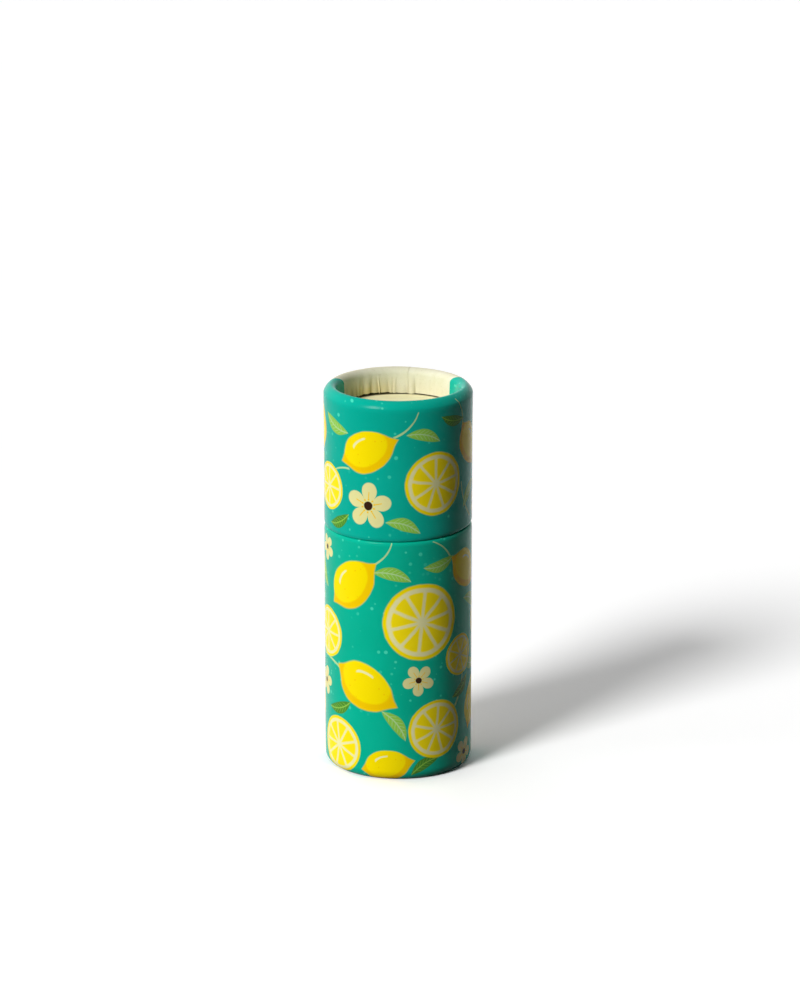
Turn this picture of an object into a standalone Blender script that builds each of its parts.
"""A push-up lip balm stick in a paperboard tube, standing upright with its cap on.

Metres, +Z up. The origin is the centre of the foot, and the front faces -Y.
Every piece is a turned shape: its outline is drawn at +X and swept round the Z axis.
"""

import math

import bmesh
import bpy

# Driving dimensions
tube_radius = 0.0110
base_height = 0.0370
cap_height = 0.0209
seam_gap = 0.0002

# Thicknesses of paper and board
wrap_thickness = 0.00012
board_thickness = 0.00075
neck_thickness = 0.00085
liner_thickness = 0.00010
facing_thickness = 0.00012
disc_thickness = 0.0008
cup_thickness = 0.00045
pad_thickness = 0.0012

# Clearances: glued layers, a sliding fit, a piece resting on a stop, and the shrunken balm
glue_gap = 0.00005
slip_gap = 0.00006
rest_gap = 0.00005
balm_gap = 0.00010

# Rolled edges: the space left inside the bend, and how far the inner legs reach
bend_space = 0.00008
recess_depth = 0.0038
foot_leg_height = 0.0038

# Neck, plunger and balm
neck_headroom = 0.0029
cup_height = 0.0035
cup_corner = 0.0006
balm_below_mouth = 0.0020
balm_dip = 0.0004
balm_corner = 0.0005

# Broken edges where paper and board are cut
wrap_edge_break = 0.00006
neck_edge_break = 0.00020

# Turning: steps round the axis and along each bend, and how close points must lie to be joined
turn_steps = 48
bend_steps = 4
tight_bend_steps = 2
dip_steps = 3
join_distance = 0.000001
sharp_angle = math.radians(35)

# The wall, from its printed face inwards
board_depth = wrap_thickness + glue_gap
wall = board_depth + board_thickness
curl_radius = wall + bend_space
wall_inner_radius = tube_radius - wall

# Heights of the outside
cap_bottom = base_height + seam_gap
total_height = cap_bottom + cap_height

# The recessed disc under the rim
disc_radius = wall_inner_radius - glue_gap
facing_top = total_height - recess_depth
facing_bottom = facing_top - facing_thickness
disc_top = facing_bottom - glue_gap
disc_bottom = disc_top - disc_thickness
rim_leg_bottom = facing_top + rest_gap

# The neck stands between the foot's wall and its inner leg, and ends under the cap's disc
neck_radius = wall_inner_radius - slip_gap
neck_inner_radius = neck_radius - neck_thickness
neck_bottom = wall + rest_gap
neck_top = disc_bottom - neck_headroom
liner_radius = neck_inner_radius - glue_gap
bore_radius = liner_radius - liner_thickness
liner_bottom = foot_leg_height + rest_gap

# Radii of the two mouths inside the rolled edges
rim_mouth_radius = tube_radius - 2 * curl_radius
foot_mouth_radius = neck_inner_radius - glue_gap - wall

# The plunger stands on the foot's inner leg and carries the balm
plunger_radius = bore_radius - slip_gap
cup_bottom = foot_leg_height + rest_gap
cup_top = cup_bottom + cup_height
pad_bottom = cup_top + glue_gap
pad_top = pad_bottom + pad_thickness
pad_facing_bottom = pad_top + glue_gap
pad_facing_top = pad_facing_bottom + facing_thickness
balm_radius = bore_radius - balm_gap
balm_bottom = pad_facing_top + glue_gap
balm_top = neck_top - balm_below_mouth

# Finishes: base colour and roughness
finishes = {
    "printed_wrap": ((0.00, 0.31, 0.20), 0.35),
    "tube_board": ((0.55, 0.48, 0.36), 0.90),
    "cream_facing": ((0.84, 0.76, 0.50), 0.60),
    "neck_board": ((0.80, 0.76, 0.64), 0.85),
    "greaseproof": ((0.80, 0.74, 0.58), 0.45),
    "plunger_board": ((0.70, 0.62, 0.46), 0.85),
    "balm": ((0.86, 0.74, 0.42), 0.40),
}


def clear_scene():
    for thing in list(bpy.data.objects):
        bpy.data.objects.remove(thing, do_unlink=True)


def new_collection(name):
    collection = bpy.data.collections.new(name)
    bpy.context.scene.collection.children.link(collection)
    return collection


def new_material(name, finish):
    colour, roughness = finishes[finish]
    material = bpy.data.materials.new(name)
    material.use_nodes = True
    shader = material.node_tree.nodes["Principled BSDF"]
    shader.inputs["Base Color"].default_value = (*colour, 1)
    shader.inputs["Roughness"].default_value = roughness
    shader.inputs["Metallic"].default_value = 0
    return material


def new_joint_empty(name, height, collection, parent=None):
    """An empty on the axis that the moving pieces hang from."""
    empty = bpy.data.objects.new(name, None)
    empty.empty_display_size = tube_radius
    collection.objects.link(empty)
    empty.location = (0, 0, height)
    if parent:
        carry(empty, parent)
    bpy.context.view_layer.update()
    return empty


def carry(thing, parent):
    """Parents a thing and leaves it where it stands."""
    thing.parent = parent
    thing.matrix_parent_inverse = parent.matrix_world.inverted()


def arc(centre, radius, start, end, steps):
    """Points of an arc in the outline's plane. Angles are in degrees, from +X towards +Z."""
    points = []
    for step in range(steps + 1):
        angle = math.radians(start + (end - start) * step / steps)
        x = centre[0] + radius * math.cos(angle)
        z = centre[1] + radius * math.sin(angle)
        points.append((x, z))
    return points


def turned(name, outline, finish, collection, parent=None):
    """One solid of revolution. An outline that starts on the axis ends on it too, and others are loops."""
    drawing = bmesh.new()
    corners = [drawing.verts.new((x, 0, z)) for x, z in outline]
    for first, second in zip(corners, corners[1:]):
        drawing.edges.new((first, second))
    if outline[0][0] > 0:
        drawing.edges.new((corners[-1], corners[0]))
    profile = bpy.data.meshes.new(name + "_profile")
    drawing.to_mesh(profile)
    drawing.free()

    piece = bpy.data.objects.new(name, profile)
    collection.objects.link(piece)
    sweep = piece.modifiers.new("Turn", "SCREW")
    sweep.axis = "Z"
    sweep.angle = math.tau
    sweep.steps = turn_steps
    sweep.render_steps = turn_steps
    sweep.use_merge_vertices = True
    sweep.merge_threshold = join_distance

    graph = bpy.context.evaluated_depsgraph_get()
    solid = bpy.data.meshes.new_from_object(piece.evaluated_get(graph))
    solid.name = name
    solid.shade_smooth()
    solid.set_sharp_from_angle(angle=sharp_angle)
    solid.materials.append(new_material(name, finish))
    piece.modifiers.clear()
    piece.data = solid
    bpy.data.meshes.remove(profile)
    if parent:
        carry(piece, parent)
    return piece


def foot_line(depth, steps):
    """From the base's top edge down the wall, round the rolled foot and up its inner leg."""
    bend = curl_radius - depth
    outer_bend = (tube_radius - curl_radius, curl_radius)
    inner_bend = (foot_mouth_radius + curl_radius, curl_radius)
    line = [(tube_radius - depth, base_height)]
    line += arc(outer_bend, bend, 0, -90, steps)
    line += arc(inner_bend, bend, -90, -180, steps)
    line.append((foot_mouth_radius + depth, foot_leg_height))
    return line


def rim_line(depth, steps):
    """From the foot of the rim's inner leg up, over the rolled rim and down the wall to the cap's edge."""
    bend = curl_radius - depth
    middle = (tube_radius - curl_radius, total_height - curl_radius)
    line = [(rim_mouth_radius + depth, rim_leg_bottom)]
    line += arc(middle, bend, 180, 0, 2 * steps)
    line.append((tube_radius - depth, cap_bottom))
    return line


def break_edge(line, end, height_step):
    """Replaces an end of the printed face's line with a small bevel."""
    x, z = line[end]
    bevel = [(x - wrap_edge_break, z), (x, z + height_step)]
    if end == 0:
        return bevel + line[1:]
    return line[:-1] + bevel[::-1]


def ring(outer, inner, top, bottom):
    return [(outer, top), (outer, bottom), (inner, bottom), (inner, top)]


def plate(radius, top, bottom):
    return [(0, top), (radius, top), (radius, bottom), (0, bottom)]


def cup_outline():
    """A pressed cup, skirt down."""
    bend = (plunger_radius - cup_corner, cup_top - cup_corner)
    outline = [(0, cup_top)]
    outline += arc(bend, cup_corner, 90, 0, bend_steps)
    outline.append((plunger_radius, cup_bottom))
    outline.append((plunger_radius - cup_thickness, cup_bottom))
    outline += arc(bend, cup_corner - cup_thickness, 0, 90, tight_bend_steps)
    outline.append((0, cup_top - cup_thickness))
    return outline


def balm_outline():
    """A poured stick whose top dips a little where it cooled last."""
    shoulder = balm_radius - balm_corner
    outline = []
    for step in range(dip_steps):
        share = step / dip_steps
        outline.append((share * shoulder, balm_top - balm_dip * (1 - share * share)))
    outline += arc((shoulder, balm_top - balm_corner), balm_corner, 90, 0, bend_steps)
    outline.append((balm_radius, balm_bottom))
    outline.append((0, balm_bottom))
    return outline


def build_base(collection):
    face = break_edge(foot_line(0, bend_steps), 0, -wrap_edge_break)
    back = foot_line(wrap_thickness, bend_steps)
    turned("base_wrap", face + back[::-1], "printed_wrap", collection)

    board_face = foot_line(board_depth, bend_steps)
    board_back = foot_line(wall, tight_bend_steps)
    turned("base_tube", board_face + board_back[::-1], "tube_board", collection)

    neck = ring(neck_radius, neck_inner_radius, neck_top, neck_bottom)
    mouth_edge = [
        (neck_radius - neck_edge_break, neck_top),
        (neck_radius, neck_top - neck_edge_break),
    ]
    turned("neck_tube", mouth_edge + neck[1:], "neck_board", collection)
    liner = ring(liner_radius, bore_radius, neck_top, liner_bottom)
    turned("neck_liner", liner, "greaseproof", collection)


def build_plunger(collection, parent):
    turned("push_cup", cup_outline(), "plunger_board", collection, parent)
    pad = plate(plunger_radius, pad_top, pad_bottom)
    turned("push_pad", pad, "plunger_board", collection, parent)
    pad_facing = plate(plunger_radius, pad_facing_top, pad_facing_bottom)
    turned("pad_facing", pad_facing, "greaseproof", collection, parent)
    turned("balm_stick", balm_outline(), "balm", collection, parent)


def build_cap(collection, parent):
    face = break_edge(rim_line(0, bend_steps), -1, wrap_edge_break)
    back = rim_line(wrap_thickness, bend_steps)
    turned("cap_wrap", face + back[::-1], "printed_wrap", collection, parent)

    board_face = rim_line(board_depth, bend_steps)
    board_back = rim_line(wall, tight_bend_steps)
    turned("cap_tube", board_face + board_back[::-1], "tube_board", collection, parent)

    facing = plate(disc_radius, facing_top, facing_bottom)
    turned("cap_disc_facing", facing, "cream_facing", collection, parent)
    disc = plate(disc_radius, disc_top, disc_bottom)
    turned("cap_disc", disc, "tube_board", collection, parent)


def main():
    clear_scene()
    collection = new_collection("lip_balm_stick")
    build_base(collection)
    push_up = new_joint_empty("push_up_axis", cup_bottom, collection)
    build_plunger(collection, push_up)
    cap_pull = new_joint_empty("cap_pull_axis", cap_bottom, collection, push_up)
    build_cap(collection, cap_pull)


main()
